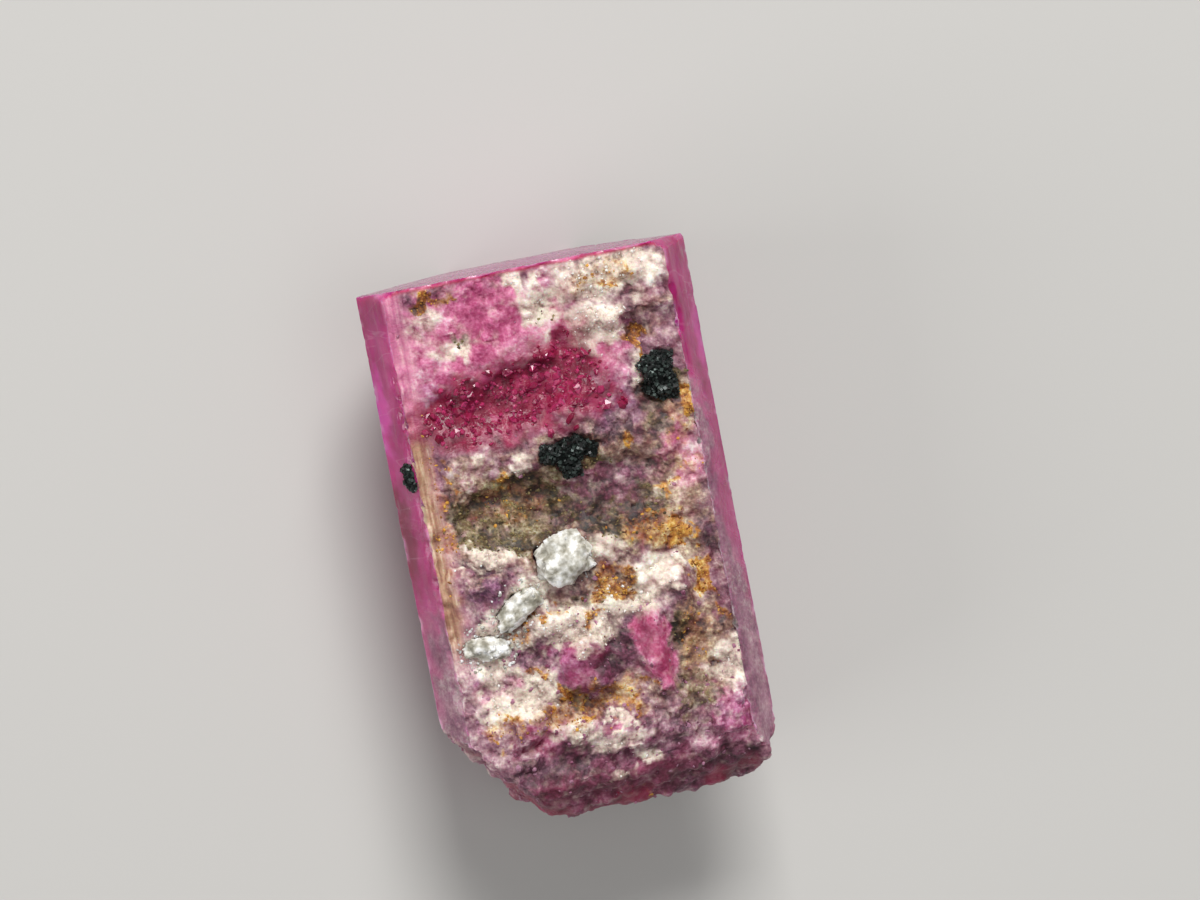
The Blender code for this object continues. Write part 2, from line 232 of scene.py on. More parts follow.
# How rough each point of the crystal is: 1 on the crusted front and the broken end, 0 on the growth faces.
flat_shape = coordinates(crystal.data) / MM
facing = normals(crystal.data)
front = smooth(0.62, 0.9, facing[:, 2]) * smooth(3.9, 4.1, flat_shape[:, 2])
broken = smooth(0.45, 0.56, -facing[:, 1]) * (1 - smooth(4.6, 5.0, flat_shape[:, 1]))
rough = np.maximum(front, broken)

# The large forms of the front and the broken end are the CAD's. Every rough point is carried along its own
# direction to the CAD's surface, and then the surface is evened over the CAD's coarse facets.
cad_surface = BVHTree.FromPolygons(
    [v.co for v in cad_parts["red_beryl_crystal"].data.vertices],
    [p.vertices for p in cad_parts["red_beryl_crystal"].data.polygons],
)
REACH = 0.6 * MM
shaped = flat_shape.copy()
for index in np.nonzero(rough > 0.01)[0]:
    way = Vector((0, 0, 1)) if front[index] > broken[index] else Vector(facing[index])
    start = Vector(flat_shape[index]) * MM + way * REACH
    hit = cad_surface.ray_cast(start, -way, 2 * REACH)[0]
    if hit:
        shaped[index] = np.array(hit) / MM
crystal.data.vertices.foreach_set("co", (shaped * MM).ravel())
rough_group = crystal.vertex_groups.new(name="rough")
for index in np.nonzero(rough > 0.01)[0]:
    rough_group.add([int(index)], float(rough[index]), "REPLACE")
even = crystal.modifiers.new("even", "SMOOTH")
even.factor = 0.5
even.iterations = 8
even.vertex_group = "rough"
bpy.context.view_layer.objects.active = crystal
bpy.ops.object.modifier_apply(modifier="even")
# Where the front is clear, crusted white, stained, or darkened with painted shade. Each patch is an ellipse
# with a ragged edge: middle x, middle y, half width, half height in mm, turn in degrees, strength.
PATCHES = {
    "pink": (
        (-0.90, 3.90, 2.10, 1.70, 0, 1.0), (0.90, 3.60, 0.90, 1.00, 0, 0.8), (-0.20, -4.75, 2.60, 0.70, 0, 0.35),
        (1.14, -2.24, 0.36, 0.95, 8, 1.0), (2.40, -3.90, 0.80, 0.90, 0, 0.5), (-0.60, -3.60, 1.30, 0.50, 0, 0.6),
        (-0.30, -2.30, 0.70, 0.70, 0, 0.5), (2.30, 1.20, 0.50, 0.90, 0, 0.4), (-2.10, -2.20, 0.50, 1.20, 0, 0.5),
    ),
    "clear": (
        (-0.95, 3.00, 2.00, 0.80, 8, 1.15), (0.35, 3.25, 1.00, 1.00, 0, 1.1), (-2.05, 3.00, 0.45, 0.50, 0, 1.0),
        (0.88, 2.75, 0.55, 0.42, 0, 0.9), (-1.10, 4.35, 1.60, 0.85, 0, 0.12), (0.75, 4.45, 0.40, 0.55, 0, 0.35),
        (1.14, -2.24, 0.26, 0.85, 8, 0.45), (-0.20, -4.75, 2.20, 0.50, 0, 0.2),
        (-1.40, -3.55, 0.45, 0.25, 0, 0.4), (-0.30, -2.30, 0.50, 0.50, 0, 0.3),
    ),
    "white": (
        (1.55, 5.00, 1.25, 0.50, 0, 1.1), (-0.20, 5.21, 0.30, 0.28, 0, 1.3), (0.15, 4.64, 0.42, 0.45, 0, 0.9),
        (1.15, 4.15, 0.60, 0.40, 0, 1.0), (1.10, 3.80, 0.35, 0.25, 0, 0.9), (-1.57, 4.13, 0.45, 0.24, 6, 0.8),
        # The two thin streaks near y 0 on the next line are white crust along a ledge and partly a painted highlight on
        # its top.
        (-0.74, 1.77, 0.26, 0.15, 10, 0.6), (-1.65, 0.08, 0.75, 0.13, -14, 1.1), (-2.19, -0.08, 0.35, 0.09, -5, 1.0),
        (-0.65, -1.50, 0.70, 0.34, 0, 1.3), (-0.01, -1.80, 0.44, 0.24, 0, 1.2), (1.30, -0.75, 0.70, 0.32, 0, 1.0),
        (-2.00, -1.90, 0.45, 0.75, 0, 0.75), (-1.25, -2.50, 0.60, 0.30, 0, 0.7), (0.10, -3.80, 0.70, 0.30, 0, 0.55),
        (0.60, -1.30, 0.75, 0.40, 0, 1.0), (0.45, -0.90, 0.60, 0.28, 10, 0.9), (-2.14, -2.75, 0.50, 0.30, 10, 1.0), (-1.46, -2.87, 0.55, 0.30, 0, 0.9),
        (-0.66, -3.42, 0.45, 0.28, 0, 0.8), (2.50, -2.75, 0.42, 0.55, 0, 0.8), (0.55, -4.23, 0.22, 0.18, 0, 0.9),
        (0.21, -3.44, 0.24, 0.10, 0, 0.9), (0.04, -4.48, 0.22, 0.13, 0, 0.7), (-1.85, -1.45, 0.75, 0.45, 10, 0.9),
        (-0.85, -0.70, 0.60, 0.35, 20, 0.8), (2.10, 1.95, 0.25, 0.30, 0, 0.4), (0.45, -0.15, 0.40, 0.30, 0, 0.5),
        (-2.10, 4.80, 0.25, 0.60, -12, 0.5), (-1.60, 2.10, 0.50, 0.20, 0, 0.2), (1.85, 3.10, 0.15, 0.35, 0, 0.8),
    ),
    "iron": (
        (-2.04, 5.17, 0.24, 0.20, 0, 1.1), (-1.70, 5.12, 0.26, 0.17, 0, 0.7), (1.43, 4.77, 0.16, 0.16, 0, 0.9),
        (1.95, 5.02, 0.20, 0.12, 0, 0.6), (1.89, 3.66, 0.16, 0.44, 8, 1.2), (2.58, 2.30, 0.25, 0.22, 0, 0.9),
        (-2.29, 1.39, 0.22, 0.24, 0, 0.9), (-1.15, 1.53, 0.22, 0.16, 0, 0.8), (-2.12, 1.84, 0.12, 0.14, 0, 0.7),
        (-2.47, 0.51, 0.16, 0.30, 0, 1.0), (-2.56, -0.12, 0.10, 0.30, 0, 0.9), (2.00, 0.07, 0.22, 0.17, 0, 1.1),
        (1.88, -0.26, 0.28, 0.23, 0, 1.1), (2.32, -0.23, 0.12, 0.18, 0, 0.9), (2.30, -1.07, 0.16, 0.40, 4, 1.1),
        (2.41, -1.74, 0.12, 0.28, 4, 1.0), (0.46, -0.63, 0.28, 0.17, 0, 0.7), (0.50, -0.92, 0.70, 0.32, 10, 0.80),
        (1.42, 1.73, 0.12, 0.14, 0, 0.9), (1.91, 0.81, 0.16, 0.22, 0, 0.7), (-0.84, -2.81, 0.14, 0.36, 0, 1.1),
        (-1.16, -2.26, 0.22, 0.14, 0, 0.8), (-1.70, -3.01, 0.18, 0.14, 0, 0.8), (-2.24, -3.45, 0.15, 0.22, 0, 0.9),
        (-0.39, -3.35, 0.24, 0.14, 0, 0.8), (-1.17, -1.22, 0.30, 0.10, 6, 1.0), (-0.70, -1.18, 0.18, 0.11, 0, 0.9),
        (-0.03, -1.47, 0.22, 0.17, 0, 0.8), (0.37, -3.14, 0.17, 0.22, 0, 0.8), (0.87, -2.90, 0.15, 0.15, 0, 0.7),
        (0.39, -5.03, 0.16, 0.12, 0, 0.6), (-2.44, 1.60, 0.12, 1.60, 3, 0.6), (-1.10, 1.00, 1.00, 0.60, 0, 0.45),
        (1.50, 0.10, 0.90, 0.45, 0, 0.6), (0.20, -3.00, 0.90, 0.35, 0, 0.6), (1.90, -2.20, 0.40, 1.00, 0, 0.45),
        (1.50, 5.00, 0.90, 0.30, 0, 0.5), (-1.90, -3.20, 0.60, 0.35, 0, 0.5), (2.30, 1.60, 0.30, 1.10, 0, 0.45),
        (-0.60, -3.10, 1.10, 0.45, 0, 0.55), (-1.30, -1.20, 0.60, 0.25, 10, 0.6),
    ),
    "olive": (
        (-1.00, 1.30, 0.80, 0.45, 0, 0.60), (-1.90, 0.95, 0.50, 0.40, 0, 0.70),
        (-1.68, 0.33, 0.90, 0.17, -16, 1.2), (-1.51, 0.69, 0.34, 0.27, 0, 0.9), (-1.11, 0.61, 0.34, 0.27, 0, 0.8),
        (-1.68, 1.25, 0.32, 0.22, 0, 0.8), (-1.10, 1.08, 0.28, 0.22, 0, 0.8), (0.62, 1.53, 0.34, 0.15, 0, 0.8),
        (1.64, 0.75, 0.38, 0.38, 0, 0.5), (2.47, 2.76, 0.13, 0.34, 0, 0.9), (0.15, 4.40, 0.30, 0.13, 0, 0.7),
        (-1.35, 4.30, 0.22, 0.13, 0, 1.0), (1.68, -1.93, 0.22, 0.52, 0, 0.6), (1.88, -3.16, 0.22, 0.52, 0, 0.5),
        (-0.90, 0.20, 0.65, 0.30, 0, 0.8), (-0.60, -2.90, 0.30, 0.30, 0, 0.5), (0.85, 0.05, 0.55, 0.30, 0, 0.6),
        (-0.90, 0.85, 1.40, 0.80, 0, 0.62), (0.55, 0.45, 0.80, 0.40, 0, 0.50), (0.10, -1.00, 0.90, 0.20, 8, 0.45),
        (1.45, 0.30, 0.60, 0.60, 0, 0.45), (1.60, -3.20, 0.35, 0.80, 0, 0.45), (2.05, 2.30, 0.30, 0.90, 0, 0.40),
    ),
    # Painted shade: dark wine patches where the front's slopes and recesses turn away from the light, most of all at
    # the lower end.
    "dark": (
        (0.79, 0.91, 1.20, 0.60, 0, 1.0), (0.05, 0.82, 0.60, 0.50, 0, 0.8), (0.30, -2.20, 0.70, 0.50, 0, 0.8),
        (-0.20, -3.90, 1.60, 0.30, 0, 0.7), (1.90, -1.20, 0.40, 0.50, 0, 0.5), (1.00, -4.70, 1.80, 0.50, 0, 1.0),
        (-1.00, 1.72, 1.00, 0.30, 0, 0.6), (-0.20, -4.80, 2.40, 0.70, 0, 1.0), (-0.20, -3.70, 2.60, 0.80, 0, 0.45),
        (-1.49, -3.62, 0.35, 0.14, 0, 0.9), (-0.10, -4.05, 0.50, 0.15, 0, 0.5), (-0.10, 2.35, 0.70, 0.22, 0, 0.5),
        (1.70, 1.95, 0.28, 0.22, 0, 0.5), (1.30, -4.30, 0.80, 0.40, 0, 0.5), (2.35, -4.90, 0.50, 0.35, 0, 0.8),
    ),
    "beige": (
        (0.95, 1.10, 1.50, 1.10, 0, 0.8), (0.00, 0.80, 2.90, 1.70, 0, 0.75), (0.40, -0.90, 2.40, 0.70, 0, 0.6),
        (1.90, 0.30, 0.90, 1.70, 0, 0.8), (-1.60, 1.40, 1.00, 0.70, 0, 0.7), (0.20, -3.20, 2.20, 0.60, 0, 0.4),
        (2.00, -2.40, 0.70, 1.40, 0, 0.8), (-0.60, -2.90, 1.80, 0.55, 0, 0.6), (0.30, -0.60, 1.00, 0.50, 0, 0.6),
        (2.20, 2.30, 0.60, 0.90, 0, 0.8), (2.10, 4.20, 0.50, 0.60, 0, 0.5), (-2.00, 0.20, 0.60, 0.90, 0, 0.6),
    ),
    "lilac": (
        (-0.30, -2.35, 0.60, 0.60, 0, 1.0), (-1.85, -0.55, 0.50, 0.40, 0, 0.7), (2.40, -3.70, 0.50, 0.60, 0, 0.5),
        (1.10, 2.60, 0.70, 0.50, 0, 0.7), (1.30, 1.10, 0.40, 0.30, 0, 0.6), (0.30, -3.75, 0.60, 0.25, 0, 0.8),
        (-2.20, -2.20, 0.30, 0.60, 0, 0.6), (-2.10, 3.45, 0.45, 0.22, 0, 0.9),
    ),
}
RAGGED = 0.30
# Two places on the sides: a painted glow of hot pink where light leaves the crystal at its edge, and painted shade of
# deep crimson where little does.
# Each is a ball: middle x, y, z, half widths in x, y, z in mm, strength.
SIDE_PATCHES = {
    "glow": ((-3.20, 3.25, 3.45, 0.35, 1.10, 0.32, 0.55), (3.20, 3.45, 3.45, 0.30, 0.90, 0.22, 0.45)),
    "deep": ((-3.20, 0.70, 3.50, 0.35, 1.30, 0.40, 0.9), (3.15, 2.70, 3.80, 0.25, 0.50, 0.40, 0.6),
             (2.95, -4.70, 2.90, 0.60, 0.50, 1.20, 0.8)),
}


def patch_mask(patches, places, ragged_x, ragged_y):
    """The strongest of the patches at each place, between 0 and the patch's strength."""
    strongest = np.zeros(len(places))
    for middle_x, middle_y, half_x, half_y, turn, strength in patches:
        angle = math.radians(turn)
        across = places[:, 0] + RAGGED * ragged_x - middle_x
        along = places[:, 1] + RAGGED * ragged_y - middle_y
        share_x = (across * math.cos(angle) + along * math.sin(angle)) / half_x
        share_y = (-across * math.sin(angle) + along * math.cos(angle)) / half_y
        strongest = np.maximum(strongest, strength * (1 - smooth(0.45, 1.25, np.hypot(share_x, share_y))))
    return strongest


def write_attribute(mesh, name, values):
    mesh.attributes.new(name, "FLOAT", "POINT").data.foreach_set("value", values.astype(np.float32))


places = coordinates(crystal.data) / MM - np.array([0, SHIFT_Y / MM - 0.05, 0])
ragged_x = grain(places, 0.33, 1, 3)
ragged_y = grain(places, 0.33, 2, 3)
masks = {name: patch_mask(patches, places, ragged_x, ragged_y) * rough for name, patches in PATCHES.items()}

# On the sides the crust thickens towards the lower end and along the edges of the front. The front's left margin is
# a flat strip with fine streaks along the crystal.
side_spots = smooth(0.05, 0.45, grain(places, 0.9, 3, 3) + 0.5 * grain(places, 0.2, 4))
lower = 1 - smooth(-3.0, 0.6, places[:, 1] + 0.9 * grain(places, 0.8, 5))
under_edge = smooth(3.2, 4.1, places[:, 2] + 0.3 * grain(places, 0.3, 6))
wrap = smooth(3.3, 2.0, places[:, 1] + 0.7 * grain(places, 0.5, 17, 2)) * np.where(places[:, 0] > 0, 1.0, 0.35)
crust = np.maximum(rough, np.clip(0.85 * lower + 0.35 * side_spots * under_edge + wrap * under_edge, 0, 1))
crust *= np.where(places[:, 1] > 5.35, 0.15, 1)
fresh = broken * (1 - front) * smooth(-0.05, 0.25, grain(places, 1.1, 23, 2)) * smooth(4.0, 3.5, places[:, 2])
masks["clear"] = np.maximum(masks["clear"], 0.8 * fresh)
margin = rough * (1 - smooth(-2.62, -2.22, places[:, 0] + 0.12 * ragged_x)) * smooth(-2.4, -1.2, places[:, 1])
clear = np.clip(masks["clear"] + (1 - rough) * (1 - crust), 0, 1)
top = smooth(0.7, 0.95, facing[:, 1])

# The fine surface. Crusted stretches are grains of three sizes, each grain raised by its own amount; the clear ones
# are broken into smooth little facets, and the margin is ridged along the crystal.
lump_far, lump_own = pebbles(places, 0.42, 13)
stone_far, stone_own = pebbles(places, 0.17, 7)
crumb_far, crumb_own = pebbles(places, 0.09, 8)
steps = np.round(2.2 * grain(places, 0.55, 9, 2) + 0.8 * grain(places, 0.22, 10)) / 2.2
shard_far, shard_own = pebbles(places, 0.24, 20)
granular = rough * (1 - 0.85 * np.clip(masks["clear"], 0, 1)) * (1 - 0.75 * margin)
fine_grained = granular * (1 - 0.6 * broken) * (1 - 0.5 * np.clip(masks["pink"], 0, 1))
lift = granular * (0.10 + 0.08 * broken) * (0.5 - lump_far)
lift += granular * (0.05 * (0.6 - stone_far) + 0.05 * (stone_own - 0.5))
lift += fine_grained * (0.03 * (0.6 - crumb_far) + 0.02 * (crumb_own - 0.5))
lift += granular * 0.07 * grain(places, 0.55, 11, 3)
lift += granular * np.clip(masks["white"], 0, 1.2) * 0.035
lift += rough * np.clip(masks["clear"], 0, 1) * (0.05 * steps + 0.03 * (shard_own - 0.5) + 0.03 * (0.5 - shard_far))
lift += fresh * 0.10 * np.abs(grain(places, 0.9, 24, 2))
lift += margin * 0.02 * grain(places * np.array([1, 0.08, 1]), 0.09, 14)
lift += (1 - rough) * 0.012 * crust * (0.6 - crumb_far)
# The front's two long edges are chipped, except close to the flat top.
from_edge = np.hypot(np.abs(places[:, 0] + 0.025) - 2.725, places[:, 2] - 4.2)
chipped = (1 - smooth(0.02, 0.34, from_edge)) * smooth(5.2, 4.2, places[:, 1] + 0.4 * ragged_y)
lift -= chipped * 0.16 * np.clip(0.35 + 0.8 * grain(places, 0.30, 16, 2), 0, 1)
# The growth faces are colour-zoned along their outlines. Their edges are nicked, and shallow pits mark them.
corner_points = np.array([(corner.x - shift_x, corner.y) for corner in corners]) / MM
face_ways = np.roll(corner_points, -1, axis=0) - corner_points
face_ways /= np.linalg.norm(face_ways, axis=1)[:, None]
inward = np.stack([face_ways[:, 1], -face_ways[:, 0]], axis=1)
section_place = places[:, (0, 2)]
in_from_faces = np.stack([(section_place - corner) @ way for corner, way in zip(corner_points, inward)], axis=1)
zone = np.clip(in_from_faces.min(axis=1), 0, None)
from_corner = np.linalg.norm(section_place[:, None, :] - corner_points[None, :, :], axis=2).min(axis=1)
from_top_rim = np.hypot(5.45 - places[:, 1], zone)
near_edge = 1 - smooth(0.02, 0.14, np.minimum(from_corner, from_top_rim))
nicks = grain(places, 0.40, 18, 3)
lift -= (1 - rough) * near_edge * 0.06 * np.clip(nicks - 0.30, 0, 1)
worn = 0.6 * (1 - rough) * near_edge * smooth(0.0, 0.45, nicks)
lift -= (1 - rough) * 0.015 * smooth(0.50, 0.70, grain(places, 0.30, 19, 2))
terraces = np.round(2.5 * grain(places * np.array([1, 0.3, 1]), 0.9, 21, 2)) * 0.010
hexagons = np.round((zone + 0.18 * grain(places, 0.9, 22)) / 0.30) * 0.008
lift += (1 - rough) * (1 - crust) * np.where(top > 0.5, hexagons, terraces)
for name, balls in SIDE_PATCHES.items():
    masks[name] = np.zeros(len(places))
    for *numbers, strength in balls:
        reach = np.linalg.norm((places - np.array(numbers[:3])) / np.array(numbers[3:]), axis=1) + 0.5 * ragged_y
        masks[name] = np.maximum(masks[name], strength * (1 - smooth(0.4, 1.1, reach)) * (1 - rough))
# Painted shade: the crust is darkened in the crevices between its grains, less on white and pink stretches.
cavity = np.clip(smooth(0.42, 0.85, stone_far) * 0.6 + smooth(0.45, 0.8, lump_far) * 0.5, 0, 1) * granular
cavity *= (1 - 0.7 * np.clip(masks["white"], 0, 1)) * (1 - 0.5 * np.clip(masks["pink"], 0, 1))
broad = grain(places, 0.7, 15, 2)
tint = np.clip(0.5 + 0.45 * (stone_own - 0.5) + 0.25 * (crumb_own - 0.5) + 0.55 * broad, 0, 1)
rusty = margin * smooth(3.4, 2.2, places[:, 1] + 0.6 * ragged_y)
surface = {"crust": crust, "clear": clear, "margin": margin, "top": top, "side": 1 - rough, "cavity": cavity,
           "tint": tint, "rusty": rusty, "zone": zone, "worn": worn, "glow": masks.pop("glow"), "deep": masks.pop("deep")}
for name, values in {**masks, **surface}.items():
    write_attribute(crystal.data, name, values)
directions = normals(crystal.data)
shaped = coordinates(crystal.data) + directions * lift[:, None] * MM
shaped[:, 2] = np.maximum(shaped[:, 2], 0)
crystal.data.vertices.foreach_set("co", shaped.ravel())
crystal.data.update()
bpy.ops.object.select_all(action="DESELECT")
crystal.select_set(True)
bpy.context.view_layer.objects.active = crystal
bpy.ops.object.shade_smooth_by_angle(angle=math.radians(38))

# Red beryl is clear crimson to magenta where it is sound. Broken up into grains it turns milky pink, and rock, iron
# oxide and clay between the grains stain it. Each layer: attribute, strength, spot size in mm, where its ragged edge
# starts and ends, colours from a dark grain to a light one.
LAYERS = (
    ("beige", 0.80, 0.30, 0.80, 1.35, ("#34241A", "#74583E", "#A68C6A", "#DACAA6")),
    ("pink", 0.85, 0.35, 0.82, 1.30, ("#B43A72", "#D46A98", "#EA9ABA", "#FAD6E4")),
    ("lilac", 0.35, 0.30, 0.85, 1.30, ("#5A2058", "#8C4A86", "#B080B0", "#DCC4DC")),
    # Painted shade: the darkest layer, laid where the front's slopes and recesses turn away from the light.
    ("dark", 0.90, 0.25, 0.85, 1.30, ("#30101C", "#541C34", "#7C3C58", "#A87C8C")),
    ("olive", 0.95, 0.18, 0.82, 1.25, ("#1A140A", "#46381A", "#726038", "#A89E78")),
    ("white", 0.92, 0.22, 0.68, 1.30, ("#A49084", "#DACAB8", "#F2E8D6", "#FFFCF2")),
    ("iron", 0.85, 0.22, 0.92, 1.50, ("#74441E", "#B07C3C", "#DABA78", "#F6E6B8")),
    ("iron", 0.92, 0.10, 1.16, 1.46, ("#4C2208", "#94520E", "#C88A26", "#F0CC74")),
)
beryl, shader = new_material("red beryl, growth faces and crust")
links = beryl.node_tree.links
object_place = node(beryl, "ShaderNodeTexCoord").outputs["Object"]
MAP_SCALE = 1 / MM
in_mm = node(beryl, "ShaderNodeVectorMath", {"operation": "SCALE", "Scale": MAP_SCALE},
             {0: object_place}).outputs["Vector"]
read = {
    name: node(beryl, "ShaderNodeAttribute", {"attribute_name": name}).outputs["Fac"]
    for name in (*masks, *surface)
}
cloud = node(beryl, "ShaderNodeTexNoise", {"Scale": 1 / 0.07, "Detail": 3.0}, {"Vector": in_mm}).outputs["Fac"]
cloud = node(beryl, "ShaderNodeMapRange", {"From Min": 0.28, "From Max": 0.72}, {"Value": cloud}).outputs["Result"]
shade = node(beryl, "ShaderNodeMix", {"Factor": 0.4}, {2: read["tint"], 3: cloud}).outputs[0]
shade = node(beryl, "ShaderNodeMapRange", {"From Min": 0.20, "From Max": 0.88}, {"Value": shade}).outputs["Result"]


def graded(material, value, colours):
    """The colours, spread evenly over the values from 0 to 1."""
    ramp = node(material, "ShaderNodeValToRGB", links={"Fac": value})
    stops = ramp.color_ramp.elements
    while len(stops) < len(colours):
        stops.new(0.5)
    for number, colour in enumerate(colours):
        stops[number].position = number / (len(colours) - 1)
        stops[number].color = linear(colour)
    return ramp.outputs["Color"]


colour = graded(beryl, shade, ("#582C40", "#8C5E70", "#B08C94", "#DACAC2"))
for name, strength, size, low, high, colours in LAYERS:
    spots = node(beryl, "ShaderNodeTexNoise", {"Scale": 1 / size, "Detail": 3.0}, {"Vector": in_mm}).outputs["Fac"]
    ragged = node(beryl, "ShaderNodeMath", {"operation": "MULTIPLY_ADD", 1: 1.3}, {0: spots, 2: read[name]}).outputs[0]
    share = node(beryl, "ShaderNodeMapRange", {"From Min": low, "From Max": high, "To Max": strength},
                 {"Value": ragged}).outputs["Result"]
    colour = node(beryl, "ShaderNodeMix", {"data_type": "RGBA"},
                  {0: share, 6: colour, 7: graded(beryl, shade, colours)}).outputs[2]
streaks = node(beryl, "ShaderNodeMapping", {"Scale": (1.0, 0.06, 1.0)}, {"Vector": in_mm}).outputs["Vector"]
streaks = node(beryl, "ShaderNodeTexNoise", {"Scale": 1 / 0.08, "Detail": 2.0}, {"Vector": streaks}).outputs["Fac"]
streaks = node(beryl, "ShaderNodeMapRange", {"From Min": 0.3, "From Max": 0.7}, {"Value": streaks}).outputs["Result"]
strip = node(beryl, "ShaderNodeMix", {"data_type": "RGBA"}, {
    0: read["rusty"],
    6: graded(beryl, streaks, ("#B25880", "#C87496", "#D490A6", "#E4B4BA")),
    7: graded(beryl, streaks, ("#885848", "#A4785C", "#BA9678", "#D6BEA4")),
}).outputs[2]
colour = node(beryl, "ShaderNodeMix", {"data_type": "RGBA"}, {0: read["margin"], 6: colour, 7: strip}).outputs[2]
# Painted shade: the crust colour is multiplied darker in the crevices between grains.
shaded_crust = node(beryl, "ShaderNodeMix", {"data_type": "RGBA", "blend_type": "MULTIPLY", 7: linear("#B0708C")},
              {0: read["cavity"], 6: colour}).outputs[2]
wide = node(beryl, "ShaderNodeTexNoise", {"Scale": 1 / 0.6, "Detail": 2.0}, {"Vector": in_mm}).outputs["Fac"]
wide = node(beryl, "ShaderNodeMapRange", {"From Min": 0.3, "From Max": 0.7}, {"Value": wide}).outputs["Result"]
# Partly painted light: cells of random brightness stand in for inner facets catching or missing the light, mixed half
# and half with a random tone.
facet_shading = node(beryl, "ShaderNodeTexVoronoi", {"Scale": 1 / 0.26}, {"Vector": in_mm}).outputs["Color"]
facet_shading = node(beryl, "ShaderNodeMix", {"Factor": 0.5}, {2: wide, 3: facet_shading}).outputs[0]
window = graded(beryl, facet_shading, ("#580220", "#8C0638", "#B0104C", "#D84486"))
growth = graded(beryl, wide, ("#B42070", "#C02C7E", "#CC3C8C"))
zones = node(beryl, "ShaderNodeMath", {"operation": "MULTIPLY_ADD", 1: 0.20}, {0: wide, 2: read["zone"]}).outputs[0]
zones = node(beryl, "ShaderNodeMapRange", {"From Min": 0.1, "From Max": 1.9}, {"Value": zones}).outputs["Result"]
top_face = graded(beryl, zones, ("#B84888", "#A83C7C", "#BC5490", "#B04884", "#C468A0", "#BC6096"))
# Painted glow and painted shade on the sides: hot pink where light leaves the crystal, deep crimson where little does.
growth = node(beryl, "ShaderNodeMix", {"data_type": "RGBA", 7: linear("#FF60D0")}, {0: read["glow"], 6: growth}).outputs[2]
growth = node(beryl, "ShaderNodeMix", {"data_type": "RGBA", 7: linear("#8C1444")}, {0: read["deep"], 6: growth}).outputs[2]
gem = node(beryl, "ShaderNodeMix", {"data_type": "RGBA"}, {0: read["side"], 6: window, 7: growth}).outputs[2]
gem = node(beryl, "ShaderNodeMix", {"data_type": "RGBA"}, {0: read["top"], 6: gem, 7: top_face}).outputs[2]
dusty = graded(beryl, wide, ("#6C3C54", "#8E5C74", "#AC8090"))
dusty_share = node(beryl, "ShaderNodeMath", {"operation": "MULTIPLY", 1: 0.6}, {0: read["side"]}).outputs[0]
shaded_crust = node(beryl, "ShaderNodeMix", {"data_type": "RGBA"}, {0: dusty_share, 6: shaded_crust, 7: dusty}).outputs[2]
glassy = node(beryl, "ShaderNodeMath", {"operation": "MULTIPLY"}, {0: read["side"], 1: read["clear"]}).outputs[0]
skin = node(beryl, "ShaderNodeMix", {"data_type": "RGBA"}, {0: read["crust"], 6: gem, 7: shaded_crust}).outputs[2]
skin = node(beryl, "ShaderNodeMix", {"data_type": "RGBA"}, {0: read["clear"], 6: skin, 7: gem}).outputs[2]
across = node(beryl, "ShaderNodeMapping", {"Scale": (0.45, 1.5, 0.45)}, {"Vector": in_mm}).outputs["Vector"]
across = node(beryl, "ShaderNodeTexNoise", {"Scale": 0.8, "Detail": 3.0, "Distortion": 0.5}, {"Vector": across}).outputs["Fac"]
across = node(beryl, "ShaderNodeMath", {"operation": "SUBTRACT", 1: 0.5}, {0: across}).outputs[0]
across = node(beryl, "ShaderNodeMath", {"operation": "ABSOLUTE"}, {0: across}).outputs[0]
across = node(beryl, "ShaderNodeMapRange", {"From Max": 0.012, "To Min": 0.28, "To Max": 0.0}, {"Value": across}).outputs[0]
veiled = node(beryl, "ShaderNodeMath", {"operation": "MULTIPLY"}, {0: across, 1: wide}).outputs[0]
veiled = node(beryl, "ShaderNodeMath", {"operation": "MULTIPLY"}, {0: veiled, 1: glassy}).outputs[0]
veiled = node(beryl, "ShaderNodeMath", {"operation": "MAXIMUM"}, {0: veiled, 1: read["worn"]}).outputs[0]
skin = node(beryl, "ShaderNodeMix", {"data_type": "RGBA", 7: linear("#F2B4D4")}, {0: veiled, 6: skin}).outputs[2]
links.new(skin, shader.inputs["Base Color"])
veils = node(beryl, "ShaderNodeMapRange", {"From Min": 0.0, "From Max": 1.0, "To Min": 0.42, "To Max": 0.36},
             {"Value": wide}).outputs["Result"]
veils = node(beryl, "ShaderNodeMix", {2: 0.35}, {0: read["side"], 3: veils}).outputs[0]
see_through = node(beryl, "ShaderNodeMath", {"operation": "MULTIPLY"}, {0: read["clear"], 1: veils}).outputs[0]
see_through = node(beryl, "ShaderNodeMix", {3: 0.35}, {0: read["top"], 2: see_through}).outputs[0]
links.new(see_through, shader.inputs["Transmission Weight"])
scattering = node(beryl, "ShaderNodeMapRange", {"To Min": 0.35, "To Max": 0.85}, {"Value": read["side"]}).outputs[0]
links.new(scattering, shader.inputs["Subsurface Weight"])
shader.inputs["Subsurface Radius"].default_value = (1.0, 0.3, 0.6)
shader.inputs["Subsurface Scale"].default_value = 0.6 * MM
dullness = node(beryl, "ShaderNodeMapRange", {"To Min": 0.6, "To Max": 0.35}, {"Value": read["clear"]}).outputs[0]
dullness = node(beryl, "ShaderNodeMix", {3: 0.06}, {0: glassy, 2: dullness}).outputs[0]
dullness = node(beryl, "ShaderNodeMix", {3: 0.18}, {0: read["top"], 2: dullness}).outputs[0]
links.new(dullness, shader.inputs["Roughness"])
shader.inputs["IOR"].default_value = 1.57
fine = node(beryl, "ShaderNodeTexNoise", {"Scale": 22.0, "Detail": 3.0}, {"Vector": in_mm}).outputs["Fac"]
